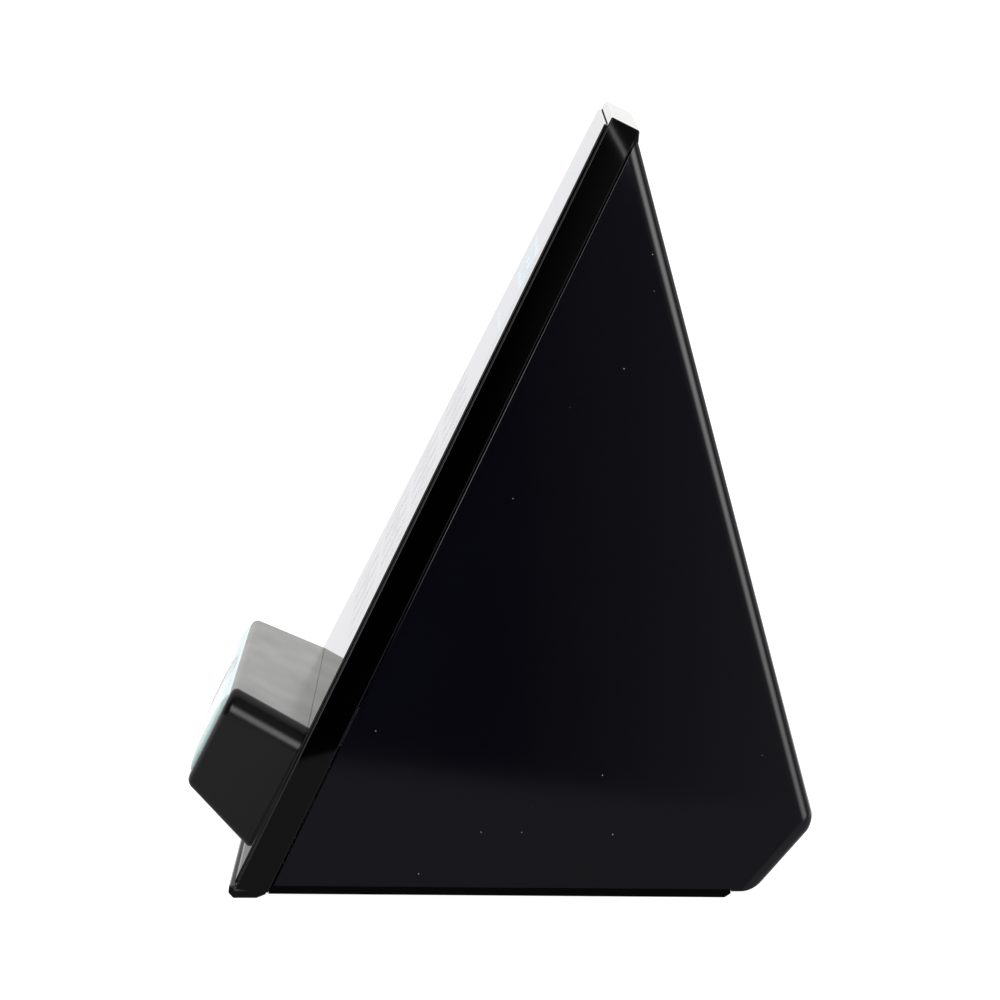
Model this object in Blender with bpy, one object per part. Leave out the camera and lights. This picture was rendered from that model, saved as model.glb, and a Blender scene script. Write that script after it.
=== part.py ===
"""Desktop fingerprint time clock: a black wedge housing with a leaning touch face plate,
a reader block on its lower front, sockets in the chamfer at the lower back and a battery bay below.

Frame: +X to the right as seen from the front, -Y to the front, +Z up.
The origin is on the table, under the middle of the clock. Lengths are written in millimetres and
made metres by MM.
"""
import math

import bmesh
import bpy
from mathutils import Matrix, Vector

MM = 0.001
GAP = 0.3                      # clearance between neighbouring pieces

# ---- driving dimensions -------------------------------------------------------------------------
LEAN = math.radians(26.4)      # the face leans back from the vertical
FACE_Y = -70.3                 # where the face plane meets the table
HALF_WIDTH = 68.9              # half width at the table
SIDE_DRAFT = 0.19              # each side leans inwards by this much for each mm of height
BACK_Y = 87.55                 # where the back plane would meet the table
BACK_DRAFT = 0.2627            # the back leans forwards by this much for each mm of height
TOP_S = 223.5                  # length of the bezel up the face
BEZEL_FRONT, BEZEL_BACK = 0.9, 9.0
PLATE_BOTTOM, PLATE_TOP, PLATE_THICK = 4.1, 221.0, 2.0
WALL = 2.4                     # housing wall
CHAMFER_LOW = (66.9, 1.4)      # the chamfer at the lower back, as (y, z)
CHAMFER_HIGH = (82.7, 18.5)
HOUSING_TOP_Z = 193.0
COVER_FRONT, COVER_REAR = (-59.1, 1.0), (58.9, 0.1)   # underside of the base cover, as (y, z)
COVER_THICK = 2.0
COVER_TAIL = (60.6, 1.2)       # the cover's rear end slopes up to here
TOE_BACK_Y = -60.1             # rear of the bezel's toe
LIP_Z = HOUSING_TOP_Z + 0.3    # the bezel's top lip closes the housing's top down to here
CENTRE_SHIFT_Y = 0.076         # moves the drawing so that the origin is under the middle of the clock

# reader block, in face coordinates (s up the face, d into the clock)
READER_TOP_S, READER_LOW_S, READER_FRONT_LOW_S = 46.3, 9.3, 16.9
READER_DEPTH = 22.0
READER_BASE_HALF = (48.6, 58.4)    # at the low and the top end
READER_FRONT_HALF = (44.7, 52.5)   # chosen so that the sides are flat
READER_WALL = 2.2

SIN, COS, TAN = math.sin(LEAN), math.cos(LEAN), math.tan(LEAN)


# ---- coordinates --------------------------------------------------------------------------------
def side(z):
    """Half width of the outside at height z."""
    return HALF_WIDTH - SIDE_DRAFT * z


def face(x, s, d):
    """A point given across the face (x), up it (s) and into the clock from it (d)."""
    return Vector((x, FACE_Y + s * SIN + d * COS, s * COS - d * SIN))


def face_side(s, d, inset):
    """Half width at (s, d) on the face, less an inset."""
    return side(face(0, s, d).z) - inset


FACE_OUT = Vector((0, -COS, SIN))
FACE_UP = Vector((0, SIN, COS))
X_AXIS = Vector((1, 0, 0))

chamfer_run = Vector((0, CHAMFER_HIGH[0] - CHAMFER_LOW[0], CHAMFER_HIGH[1] - CHAMFER_LOW[1]))
CHAMFER_UP = chamfer_run.normalized()
CHAMFER_OUT = Vector((0, CHAMFER_UP.z, -CHAMFER_UP.y))
CHAMFER_MID = Vector((0, (CHAMFER_HIGH[0] + CHAMFER_LOW[0]) / 2, (CHAMFER_HIGH[1] + CHAMFER_LOW[1]) / 2))

BACK_OUT = Vector((0, 1, BACK_DRAFT)).normalized()
BACK_UP = Vector((0, -BACK_DRAFT, 1)).normalized()


def chamfer(x, t, n):
    """A point across the chamfer (x), up it from its middle (t) and out of it (n)."""
    return CHAMFER_MID + X_AXIS * x + CHAMFER_UP * t + CHAMFER_OUT * n


def back(x, t, n, z_mid):
    """A point on the back wall, t up from the height z_mid and n out of the wall."""
    middle = Vector((0, back_line(z_mid), z_mid))
    return middle + X_AXIS * x + BACK_UP * t + BACK_OUT * n


def back_line(z):
    """How far back the back plane lies at height z."""
    return BACK_Y - BACK_DRAFT * z


def at_depth(d, z):
    """The (y, z) point at height z on the plane that lies d behind the face."""
    return (FACE_Y + z * TAN + d / COS, z)


def cover_z(y):
    """Height of the base cover's underside, which rises a little to the front."""
    share = (y - COVER_FRONT[0]) / (COVER_REAR[0] - COVER_FRONT[0])
    return COVER_FRONT[1] + share * (COVER_REAR[1] - COVER_FRONT[1])


# ---- materials ----------------------------------------------------------------------------------
MATERIALS = {
    "gloss_black": ((0.004, 0.004, 0.005), 0.05, 0.0),
    "satin_black": ((0.009, 0.009, 0.012), 0.34, 0.0),
    "matt_black": ((0.012, 0.012, 0.013), 0.6, 0.0),
    "rubber": ((0.02, 0.02, 0.02), 0.85, 0.0),
    "dark_glass": ((0.01, 0.035, 0.03), 0.04, 0.0),
    "clear_glass": ((0.5, 0.6, 0.55), 0.05, 0.0),
    "board_green": ((0.01, 0.09, 0.04), 0.45, 0.0),
    "steel": ((0.55, 0.56, 0.58), 0.3, 1.0),
    "display": ((0.05, 0.07, 0.1), 0.2, 0.0),
    "ribbon": ((0.55, 0.5, 0.4), 0.5, 0.0),
    "wrap_blue": ((0.03, 0.08, 0.25), 0.4, 0.0),
}


def material(name):
    found = bpy.data.materials.get(name)
    if found:
        return found
    colour, rough, metal = MATERIALS[name]
    made = bpy.data.materials.new(name)
    made.use_nodes = True
    shader = made.node_tree.nodes["Principled BSDF"]
    shader.inputs["Base Color"].default_value = (*colour, 1.0)
    shader.inputs["Roughness"].default_value = rough
    shader.inputs["Metallic"].default_value = metal
    return made


# ---- making solids ------------------------------------------------------------------------------
def add_object(name, bm, finish):
    """Turn a bmesh in millimetres into an object in metres, with the origin under its middle."""
    bmesh.ops.recalc_face_normals(bm, faces=bm.faces)
    bmesh.ops.translate(bm, vec=(0, CENTRE_SHIFT_Y, 0), verts=bm.verts)
    bmesh.ops.scale(bm, vec=(MM, MM, MM), verts=bm.verts)
    mesh = bpy.data.meshes.new(name)
    bm.to_mesh(mesh)
    bm.free()
    made = bpy.data.objects.new(name, mesh)
    bpy.context.scene.collection.objects.link(made)
    made.data.materials.append(material(finish))
    return made


def hull(points):
    """A convex solid through some corner points, with its flat faces whole."""
    bm = bmesh.new()
    for point in points:
        bm.verts.new(point)
    result = bmesh.ops.convex_hull(bm, input=bm.verts)
    spare = [item for item in result["geom_interior"] + result["geom_unused"]
             if isinstance(item, bmesh.types.BMVert)]
    bmesh.ops.delete(bm, geom=list(dict.fromkeys(spare)), context="VERTS")
    bmesh.ops.dissolve_limit(bm, angle_limit=math.radians(0.6), verts=bm.verts, edges=bm.edges)
    bmesh.ops.recalc_face_normals(bm, faces=bm.faces)
    return bm


def box_points(place, a, b, c):
    """The corners of a box given by three ranges in one of the coordinate functions."""
    return [place(i, j, k) for i in a for j in b for k in c]


def straight(x, y, z):
    return Vector((x, y, z))


def rod_mesh(centre, axis, radius, length, sides=24):
    bm = bmesh.new()
    turn = Vector((0, 0, 1)).rotation_difference(Vector(axis)).to_matrix().to_4x4()
    bmesh.ops.create_cone(bm, cap_ends=True, segments=sides, radius1=radius, radius2=radius,
                          depth=length, matrix=Matrix.Translation(centre) @ turn)
    return bm


def rod(name, start, end, radius, finish, sides=24):
    start, end = Vector(start), Vector(end)
    return add_object(name, rod_mesh((start + end) / 2, (end - start).normalized(), radius,
                                     (end - start).length, sides), finish)


def block(name, place, a, b, c, finish):
    return add_object(name, hull(box_points(place, a, b, c)), finish)


def boolean(target, tool, operation):
    """Join or cut the target with a tool object, which is then removed."""
    step = target.modifiers.new(operation.lower(), "BOOLEAN")
    step.operation = operation
    step.solver = "EXACT"
    step.object = tool
    bpy.context.view_layer.objects.active = target
    bpy.ops.object.modifier_apply(modifier=step.name)
    bpy.data.objects.remove(tool, do_unlink=True)
    return target


def cut(target, tool):
    return boolean(target, tool, "DIFFERENCE")


def join(target, tool):
    return boolean(target, tool, "UNION")


def set_pivot(item, point):
    """Put a moving piece's origin on its joint's axis, without moving the piece."""
    pivot = (Vector(point) + Vector((0, CENTRE_SHIFT_Y, 0))) * MM
    item.data.transform(Matrix.Translation(-pivot))
    item.location = pivot


def smooth(item, degrees=35):
    item.data.shade_smooth()
    item.data.set_sharp_from_angle(angle=math.radians(degrees))
    return item


def bevel_edges(bm, wanted, width, segments):
    edges = [edge for edge in bm.edges if wanted(edge)]
    bmesh.ops.bevel(bm, geom=edges, offset=width, offset_type="OFFSET", segments=segments,
                    profile=0.5, affect="EDGES", material=-1, clamp_overlap=True)


def keep_behind(bm, point, outward):
    """Cut the solid off flat at a plane and close it there."""
    everything = list(bm.verts) + list(bm.edges) + list(bm.faces)
    result = bmesh.ops.bisect_plane(bm, geom=everything, plane_co=point, plane_no=outward, clear_outer=True)
    rim = [item for item in result["geom_cut"] if isinstance(item, bmesh.types.BMEdge)]
    bmesh.ops.contextual_create(bm, geom=rim)


def faces_out(edge, *directions):
    """True if the edge joins two faces that look along the given directions."""
    normals = [item.normal for item in edge.link_faces]
    return len(normals) == 2 and all(
        any(normal.dot(direction) > 0.9 for normal in normals) for direction in directions)


def extruded(profile, inset):
    """Corner points of a (y, z) profile drawn out to the leaning sides, less an inset."""
    return [Vector((sign * (side(z) - inset), y, z)) for y, z in profile for sign in (-1, 1)]


# ---- front: plate, bezel, display ---------------------------------------------------------------
def face_trapezoid(s_range, d_range, inset):
    points = []
    for s in s_range:
        for d in d_range:
            half = face_side(s, d, inset)
            points += [face(-half, s, d), face(half, s, d)]
    return hull(points)


SIDE_OUT = Vector((1, 0, SIDE_DRAFT)).normalized()
CABLE_SLOT = ((-12.0, 12.0), (28.0, 33.0))     # x and s of the hole that the reader's ribbon uses
LCD_HALF, LCD_S = 30.0, (148.0, 196.0)
STATUS_S = 204.0                               # the status light, up the face


def make_front():
    toe = [(-69.9, 1.4), (-68.6, 0.0), (-62.6, 0.0), (TOE_BACK_Y, 1.0), (-69.7, 3.2), (TOE_BACK_Y, 3.2)]
    front_low, rear_low = at_depth(BEZEL_FRONT, 4.2), at_depth(BEZEL_BACK, 1.4)
    top_front, top_back = face(0, TOP_S, BEZEL_FRONT), face(0, TOP_S, BEZEL_BACK)
    frame = add_object("front_bezel", hull(extruded(
        [front_low, (top_front.y, top_front.z), (top_back.y, top_back.z), rear_low, (-68.4, 2.4)], 0.0)),
        "gloss_black")
    join(frame, add_object("toe", hull(extruded(toe, 0.02)), "gloss_black"))
    lip = [(back_line(LIP_Z), LIP_Z), (top_back.y, top_back.z), (top_back.y - 2.0, top_back.z),
           (back_line(LIP_Z) - 2.5, LIP_Z)]
    join(frame, add_object("top_lip", hull(extruded(lip, 0.02)), "gloss_black"))
    cut(frame, add_object("seat", face_trapezoid((PLATE_BOTTOM - GAP, PLATE_TOP + GAP), (-2.0, 3.0), 1.2),
                          "gloss_black"))
    cut(frame, add_object("rear_pocket", face_trapezoid((12.0, TOP_S - 4.0), (5.0, 12.0), 3.4),
                          "gloss_black"))
    cut(frame, block("display_opening", face, (-LCD_HALF - GAP, LCD_HALF + GAP),
                     (LCD_S[0] - GAP, LCD_S[1] + GAP), (2.0, 8.0), "gloss_black"))
    cut(frame, block("ribbon_opening", face, CABLE_SLOT[0], CABLE_SLOT[1], (2.0, 8.0), "gloss_black"))
    cut(frame, add_object("light_opening", rod_mesh(face(0, STATUS_S, 4), FACE_OUT, 1.9, 8), "gloss_black"))

    plate = face_trapezoid((PLATE_BOTTOM, PLATE_TOP), (0.0, PLATE_THICK), 1.5)
    plate = add_object("face_plate", plate, "gloss_black")
    cut(plate, block("ribbon_opening", face, CABLE_SLOT[0], CABLE_SLOT[1], (-2.0, 4.0), "gloss_black"))

    add_object("touch_key_film", face_trapezoid((54.0, 142.0), (PLATE_THICK + GAP, 2.7), 9.0), "ribbon")
    rod("status_light_pipe", face(0, STATUS_S, PLATE_THICK + GAP), face(0, STATUS_S, 7.2), 1.5, "clear_glass",
        16)

    glass_s = (LCD_S[0] + 2.0, LCD_S[1] - 2.0)
    shell = block("display_frame", face, (-LCD_HALF, LCD_HALF), LCD_S, (2.6, 7.0), "steel")
    cut(shell, block("glass_pocket", face, (-LCD_HALF + 1.4, LCD_HALF - 1.4),
                     (LCD_S[0] + 1.4, LCD_S[1] - 1.4), (1.0, 5.2), "steel"))
    block("display_glass", face, (-LCD_HALF + 2.0, LCD_HALF - 2.0), glass_s, (2.5, 4.9), "display")


# ---- boards inside ------------------------------------------------------------------------------
BOARD_D = (20.0, 21.6)
BOARD_HALF, BOARD_S = 36.0, (60.0, 150.0)
BOARD_HOLES = [(x, s) for x in (-32.0, 32.0) for s in (64.0, 146.0)]


def make_boards():
    add_object("display_board", face_trapezoid((58.0, 207.0), (7.5, 9.0), 6.4), "board_green")
    block("main_board", face, (-BOARD_HALF, BOARD_HALF), BOARD_S, BOARD_D, "board_green")
    for number, (x, s) in enumerate(BOARD_HOLES, 1):
        rod(f"standoff_{number}", face(x, s, 9.3), face(x, s, BOARD_D[0] - GAP), 2.6, "steel", 6)
        head = rod(f"board_screw_{number}", face(x, s, BOARD_D[1] + GAP), face(x, s, 24.2), 2.6, "steel", 20)
        cut(head, block("slot", lambda a, b, c, x=x, s=s: face(x + a, s + b, c),
                        (-3, 3), (-0.4, 0.4), (23.4, 26), "steel"))
    block("processor_shield", face, (-18.0, 12.0), (96.0, 126.0), (21.9, 24.6), "steel")
    block("wireless_module", face, (17.0, 33.0), (110.0, 134.0), (21.9, 24.1), "steel")
    cell = face(-20.0, 78.0, 0)
    holder = rod("coin_cell_holder", cell - FACE_OUT * 21.9, cell - FACE_OUT * 26.6, 12.4, "matt_black", 28)
    cut(holder, add_object("well", rod_mesh(cell - FACE_OUT * 26.0, FACE_OUT, 10.4, 6.0, 28), "matt_black"))
    rod("coin_cell", cell - FACE_OUT * 23.3, cell - FACE_OUT * 26.4, 10.0, "steel", 28)

    ribbon = block("display_ribbon", face, (-9.0, 9.0), (152.0, 152.6), (9.4, 21.0), "ribbon")
    join(ribbon, block("tab", face, (-9.0, 9.0), (144.0, 152.6), (9.4, 9.9), "ribbon"))


# ---- reader block -------------------------------------------------------------------------------
def reader_points(inset, base_d, front_d):
    """Corners of the reader block between two depths, drawn in by an inset."""
    points = []
    for depth in (base_d, front_d):
        share = -depth / READER_DEPTH
        halves = [base + share * (front - base) for base, front in zip(READER_BASE_HALF, READER_FRONT_HALF)]
        full_low = READER_LOW_S + share * (READER_FRONT_LOW_S - READER_LOW_S)
        slope = (halves[1] - halves[0]) / (READER_TOP_S - full_low)
        low_half = halves[0] + slope * inset - inset * 1.05
        top_half = halves[1] - slope * inset - inset * 1.05
        points += [face(sign * low_half, full_low + inset, depth) for sign in (-1, 1)]
        points += [face(sign * top_half, READER_TOP_S - inset, depth) for sign in (-1, 1)]
    return points


SENSOR_HALF, SENSOR_S = 9.5, (20.5, 42.5)


def make_reader():
    shell = hull(reader_points(0.0, -GAP, -READER_DEPTH))
    bevel_edges(shell, lambda e: abs(sum((v.co.x for v in e.verts))) > 80
                and faces_out(e, FACE_UP) and not faces_out(e, FACE_OUT)
                and not faces_out(e, -FACE_OUT), 6.0, 5)
    bevel_edges(shell, lambda e: faces_out(e, FACE_OUT), 1.8, 3)
    shell = smooth(add_object("reader_housing", shell, "satin_black"))
    hollow = hull(reader_points(READER_WALL, 3.0, -READER_DEPTH + 3.4))
    cut(shell, add_object("hollow", hollow, "satin_black"))
    cut(shell, add_object("seat", hull(reader_points(2.6, -READER_DEPTH + 1.2, -READER_DEPTH - 3.0)),
                          "satin_black"))
    cut(shell, block("sensor_opening", face, (-SENSOR_HALF - 0.6, SENSOR_HALF + 0.6),
                     (SENSOR_S[0] - 0.6, SENSOR_S[1] + 0.6), (-30.0, -10.0), "satin_black"))

    lens = hull(reader_points(2.6 + GAP, -READER_DEPTH + 0.9, -READER_DEPTH - 0.5))
    lens = add_object("reader_lens", lens, "dark_glass")
    cut(lens, block("sensor_opening", face, (-SENSOR_HALF - GAP, SENSOR_HALF + GAP),
                    (SENSOR_S[0] - GAP, SENSOR_S[1] + GAP), (-30.0, -10.0), "dark_glass"))
    block("sensor_window", face, (-SENSOR_HALF, SENSOR_HALF), SENSOR_S, (-22.9, -17.6), "clear_glass")
    prism = [face(x, s, d) for x in (-8.5, 8.5) for s, d in ((22, -17.3), (41, -17.3), (41, -10.0))]
    add_object("sensor_prism", hull(prism), "clear_glass")
    camera = block("sensor_camera", face, (-5.0, 5.0), (23.0, 30.0), (-9.0, -6.2), "matt_black")
    join(camera, add_object("barrel", rod_mesh(face(0, 26.5, -9.6), FACE_OUT, 3.0, 2.0, 20), "matt_black"))
    block("sensor_board", face, (-30.0, 30.0), (17.0, 40.0), (-5.9, -4.4), "board_green")
    for number, sign in enumerate((-1, 1), 1):
        block(f"sensor_light_{number}", face, tuple(sorted((sign * 12.0, sign * 15.0))),
              (27.0, 31.0), (-7.6, -6.2), "clear_glass")
    plate = add_object("reader_back_plate", hull(reader_points(READER_WALL + GAP, -GAP, -2.0)), "matt_black")
    cut(plate, block("ribbon_opening", face, CABLE_SLOT[0], CABLE_SLOT[1], (-6.0, 4.0), "matt_black"))
    ribbon = block("reader_ribbon", face, (-9.0, 9.0), (30.0, 30.6), (-4.1, 11.4), "ribbon")
    join(ribbon, block("run", face, (-9.0, 9.0), (30.0, 58.0), (10.8, 11.4), "ribbon"))
    join(ribbon, block("rise", face, (-9.0, 9.0), (57.4, 58.0), (10.8, 19.6), "ribbon"))


# ---- rear housing -------------------------------------------------------------------------------
PORTS_X = {"power": -42.0, "network": -14.0, "usb": 12.0, "reset": 28.0, "switch": 44.0}
RESET_T = -3.0                                 # the reset button, up the chamfer from its middle
BOSS_Y = (-26.0, 36.0)
BOSS_X = 55.0
SPEAKER_Z = 64.0


def make_housing():
    seam = BEZEL_BACK + GAP
    profile = [(-120.0, CHAMFER_LOW[1]), CHAMFER_LOW, CHAMFER_HIGH,
               (back_line(HOUSING_TOP_Z), HOUSING_TOP_Z), (-120.0, HOUSING_TOP_Z)]
    outer = hull(extruded(profile, 0.2))
    rounded = [(BACK_OUT, CHAMFER_OUT), (BACK_OUT, SIDE_OUT), (CHAMFER_OUT, SIDE_OUT),
               (BACK_OUT, Vector((-SIDE_OUT.x, 0, SIDE_OUT.z))),
               (CHAMFER_OUT, Vector((-SIDE_OUT.x, 0, SIDE_OUT.z)))]
    bevel_edges(outer, lambda e: any(faces_out(e, a, b) for a, b in rounded), 3.0, 4)
    keep_behind(outer, face(0, 0, seam), FACE_OUT)
    shell = smooth(add_object("rear_housing", outer, "satin_black"))

    inner_back = BACK_Y - WALL * math.sqrt(1 + BACK_DRAFT ** 2)
    low = chamfer(0, 0, -WALL)
    slope = CHAMFER_UP.z / CHAMFER_UP.y
    corner_z = (low.z + slope * (inner_back - low.y)) / (1 + slope * BACK_DRAFT)
    corner = (inner_back - BACK_DRAFT * corner_z, corner_z)
    floor = CHAMFER_LOW[1] + WALL
    foot = (low.y + (floor - low.z) / slope, floor)
    front = FACE_Y + (seam - 4.0) / COS
    top = HOUSING_TOP_Z - 10.0
    inner = [(front + floor * TAN, floor), foot, corner, (inner_back - BACK_DRAFT * top, top),
             (front + top * TAN, top)]
    cut(shell, add_object("hollow", hull(extruded(inner, WALL + 0.2)), "satin_black"))
    mouth = COVER_REAR[0] - 2.0
    below = [(-75.0, -2.0), (-75.0, floor + 1.0), (mouth, floor + 1.0), (mouth, -2.0)]
    cut(shell, add_object("mouth_below", hull(extruded(below, WALL + 0.2)), "satin_black"))

    # the rim stands on the base cover, which fills the housing's foot
    rim = [(y, cover_z(y) + lift) for y in (-75.0, COVER_TAIL[0] + GAP)
           for lift in (-3.0, COVER_THICK + 0.15)]
    cut(shell, add_object("cover_seat", hull(extruded(rim, -5.0)), "satin_black"))

    # posts that the base screws go up into
    for x in (-BOSS_X, BOSS_X):
        for y in BOSS_Y:
            outward = math.copysign(10.0, x)
            post = block("post", straight, tuple(sorted((x - outward * 0.4, x + outward))),
                         (y - 4.0, y + 4.0), (4.6, 16.0), "satin_black")
            trim = hull(extruded([(-90, 0), (90, 0), (-90, 30), (90, 30)], 1.2))
            boolean(post, add_object("trim", trim, "satin_black"), "INTERSECT")
            join(shell, post)
            cut(shell, add_object("pilot", rod_mesh((x, y, 8.0), (0, 0, 1), 1.8, 14.0, 16), "satin_black"))

    # openings for the sockets and the controls in the chamfer
    def port(x, half, low_t, high_t):
        return block("port", chamfer, (x - half, x + half), (low_t, high_t), (-5.0, 5.0), "satin_black")

    cut(shell, add_object("port", rod_mesh(chamfer(PORTS_X["power"], 0, 0), CHAMFER_OUT, 4.6, 10, 28),
                          "satin_black"))
    cut(shell, port(PORTS_X["network"], 8.3, -7.0, 7.0))
    cut(shell, port(PORTS_X["usb"], 6.9, -7.0, 0.6))
    cut(shell, add_object("port", rod_mesh(chamfer(PORTS_X["reset"], RESET_T, 0), CHAMFER_OUT, 2.2, 10, 20),
                          "satin_black"))
    cut(shell, port(PORTS_X["switch"], 7.6, -5.2, 5.2))

    for number in range(6):
        slot = (number - 2.5) * 4.4
        reach = math.sqrt(16.0 ** 2 - slot ** 2)
        cut(shell, block("sound_slot", lambda a, b, c: back(a, b, c, SPEAKER_Z), (-reach, reach),
                         (slot - 0.9, slot + 0.9), (-5, 5), "satin_black"))


def make_speaker():
    wall_in = -WALL - GAP
    centre = back(0, 0, wall_in, SPEAKER_Z)
    speaker = rod("speaker", centre, centre - BACK_OUT * 3.0, 18.0, "matt_black", 28)
    magnet = rod_mesh(centre - BACK_OUT * 5.5, BACK_OUT, 9.0, 6.0, 24)
    join(speaker, add_object("magnet", magnet, "matt_black"))
    cut(speaker, add_object("dish", rod_mesh(centre, BACK_OUT, 15.5, 2.4, 28), "matt_black"))


# ---- sockets and controls -----------------------------------------------------------------------
def socket(name, x, half, t_range, depth, hole_half, hole_t, hole_depth, finish):
    """A box socket whose mouth lies just inside the chamfer's outer face."""
    mouth = -0.6
    body = block(name, chamfer, (x - half, x + half), t_range, (-depth, mouth), finish)
    return cut(body, block("mouth", chamfer, (x - hole_half, x + hole_half), hole_t,
                           (-hole_depth, 2.0), finish))


def make_ports():
    socket("network_jack", PORTS_X["network"], 8.0, (-6.7, 6.7), 18.0, 6.0, (-3.6, 4.6), 13.0, "steel")
    socket("usb_port", PORTS_X["usb"], 6.6, (-6.7, 0.3), 14.0, 6.0, (-6.0, -0.5), 11.0, "steel")

    x = PORTS_X["power"]
    jack = block("power_jack", chamfer, (x - 4.5, x + 4.5), (-6.7, 4.5), (-15.0, -WALL - GAP), "matt_black")
    join(jack, add_object("nose", rod_mesh(chamfer(x, 0, -2.4), CHAMFER_OUT, 4.2, 3.2, 28), "matt_black"))
    cut(jack, add_object("bore", rod_mesh(chamfer(x, 0, -5.0), CHAMFER_OUT, 2.9, 13.0, 28), "matt_black"))
    rod("power_jack_pin", chamfer(x, 0, -11.2), chamfer(x, 0, -2.2), 1.0, "steel", 16)

    x = PORTS_X["switch"]
    body = block("switch_body", chamfer, (x - 7.2, x + 7.2), (-4.8, 4.8), (-11.0, 0.6), "matt_black")
    cut(body, block("well", chamfer, (x - 6.2, x + 6.2), (-3.9, 3.9), (-7.4, 4.0), "matt_black"))
    profile = [(-5.0, -4.0), (-5.0, -0.2), (5.0, 0.9), (2.6, -4.2), (0.0, -5.2)]
    rocker = hull([chamfer(x + a, t, n) for a, n in profile for t in (-3.5, 3.5)])
    set_pivot(add_object("power_switch", rocker, "gloss_black"), chamfer(x, 0, 0))

    x = PORTS_X["reset"]
    button = rod("reset_button", chamfer(x, RESET_T, -6.0), chamfer(x, RESET_T, 0.4), 1.8, "matt_black", 20)
    set_pivot(button, chamfer(x, RESET_T, 0))
    block("reset_switch", chamfer, (x - 3.0, x + 3.0), (-6.4, -0.4), (-11.0, -7.6), "matt_black")
    block("port_board", chamfer, (-50.0, 54.0), (-8.6, -7.0), (-24.0, -3.2), "board_green")


# ---- base: cover, battery, ballast, feet --------------------------------------------------------
BAY_X, BAY_Y, BAY_TOP = 34.4, (-43.4, 5.6), 22.0
HINGE_Y, HINGE_Z = 4.2, 1.75
DOOR_Y = (-43.0, 2.6)
FEET = [(x, y) for y in (-51.0, 50.0) for x in (-50.0, 50.0)]


def make_base():
    seam = BEZEL_BACK + GAP
    front_top = COVER_FRONT[1] + COVER_THICK - 0.1
    outline = [at_depth(seam, COVER_FRONT[1]), at_depth(seam, front_top), COVER_REAR, COVER_TAIL,
               (COVER_TAIL[0], cover_z(COVER_TAIL[0]) + COVER_THICK - 0.1)]
    cover = add_object("base_cover", hull(extruded(outline, 0.2)), "satin_black")
    # the open-bottomed battery bay stands up from the cover
    bay = block("bay", straight, (-BAY_X - 1.6, BAY_X + 1.6), (BAY_Y[0] - 1.0, BAY_Y[1] + 1.6),
                (cover_z(0) + 1.0, BAY_TOP + 1.6), "satin_black")
    join(cover, bay)
    cut(cover, block("bay_space", straight, (-BAY_X, BAY_X), BAY_Y, (-3.0, BAY_TOP), "satin_black"))
    for x, y in FEET:
        top = cover_z(y) + 1.0
        seat = rod_mesh((x, y, top - 3.0), (0, 0, 1), 5.3, 6.0, 24)
        cut(cover, add_object("foot_seat", seat, "satin_black"))
    for x in (-BOSS_X, BOSS_X):
        for y in BOSS_Y:
            hole = rod_mesh((x, y, 0), (0, 0, 1), 1.8, 12.0, 16)
            cut(cover, add_object("screw_hole", hole, "satin_black"))
            cut(cover, add_object("head_seat", rod_mesh((x, y, cover_z(y) - 1.9), (0, 0, 1), 3.1, 6.0, 20),
                                  "satin_black"))
    # lugs at the ends of the hinge
    for sign in (-1, 1):
        join(cover, block("lug", straight, tuple(sorted((sign * 29.4, sign * 35.0))),
                          (HINGE_Y - 1.1, BAY_Y[1] + 0.8), (HINGE_Z - 1.1, HINGE_Z + 1.3), "satin_black"))
        cut(cover, add_object("pin_hole", rod_mesh((sign * 30.9, HINGE_Y, HINGE_Z), X_AXIS, 0.8, 4.0, 12),
                              "satin_black"))

    door = hull([Vector((x, y, cover_z(y) + lift))
                 for x in (-34.0, 34.0) for y in DOOR_Y for lift in (0.1, 1.7)])
    door = add_object("battery_door", door, "satin_black")
    for sign in (-1, 1):
        knuckle_x = sorted((sign * 16.0, sign * 28.6))
        join(door, block("arm", straight, knuckle_x, (DOOR_Y[1] - 1.0, HINGE_Y),
                         (HINGE_Z - 0.6, HINGE_Z + 0.4), "satin_black"))
        join(door, add_object("knuckle", rod_mesh((sign * 22.3, HINGE_Y, HINGE_Z), X_AXIS, 1.15, 12.6, 20),
                              "satin_black"))
    cut(door, add_object("pin_hole", rod_mesh((0, HINGE_Y, HINGE_Z), X_AXIS, 0.8, 70.0, 12), "satin_black"))
    set_pivot(door, (0, HINGE_Y, HINGE_Z))
    rod("hinge_pin", (-31.6, HINGE_Y, HINGE_Z), (31.6, HINGE_Y, HINGE_Z), 0.5, "steel", 12)

    block("battery_pack", straight, (-31.0, 31.0), (-41.5, 1.0), (4.2, 20.6), "wrap_blue")
    block("ballast_plate", straight, (-46.0, 46.0), (9.0, 44.0), (3.4, 8.4), "steel")

    for number, (x, y) in enumerate(FEET, 1):
        rod(f"foot_{number}", (x, y, 0.0), (x, y, cover_z(y) + 0.7), 5.0, "rubber", 24)
    screw = 0
    for x in (-BOSS_X, BOSS_X):
        for y in BOSS_Y:
            screw += 1
            seat = cover_z(y) + 1.1 - GAP
            item = rod(f"base_screw_{screw}", (x, y, cover_z(y) + 0.1), (x, y, seat), 2.8, "steel", 20)
            join(item, add_object("shank", rod_mesh((x, y, seat + 5.0), (0, 0, 1), 1.4, 10.6, 16), "steel"))


def main():
    for item in list(bpy.data.objects):
        bpy.data.objects.remove(item, do_unlink=True)
    make_front()
    make_boards()
    make_reader()
    make_housing()
    make_speaker()
    make_ports()
    make_base()


main()
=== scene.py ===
"""Looks of the desktop time clock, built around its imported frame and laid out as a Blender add-on."""

import math

import bmesh
import bpy
from bpy.props import FloatProperty, FloatVectorProperty, IntProperty, PointerProperty
from mathutils import Matrix, Vector


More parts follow.
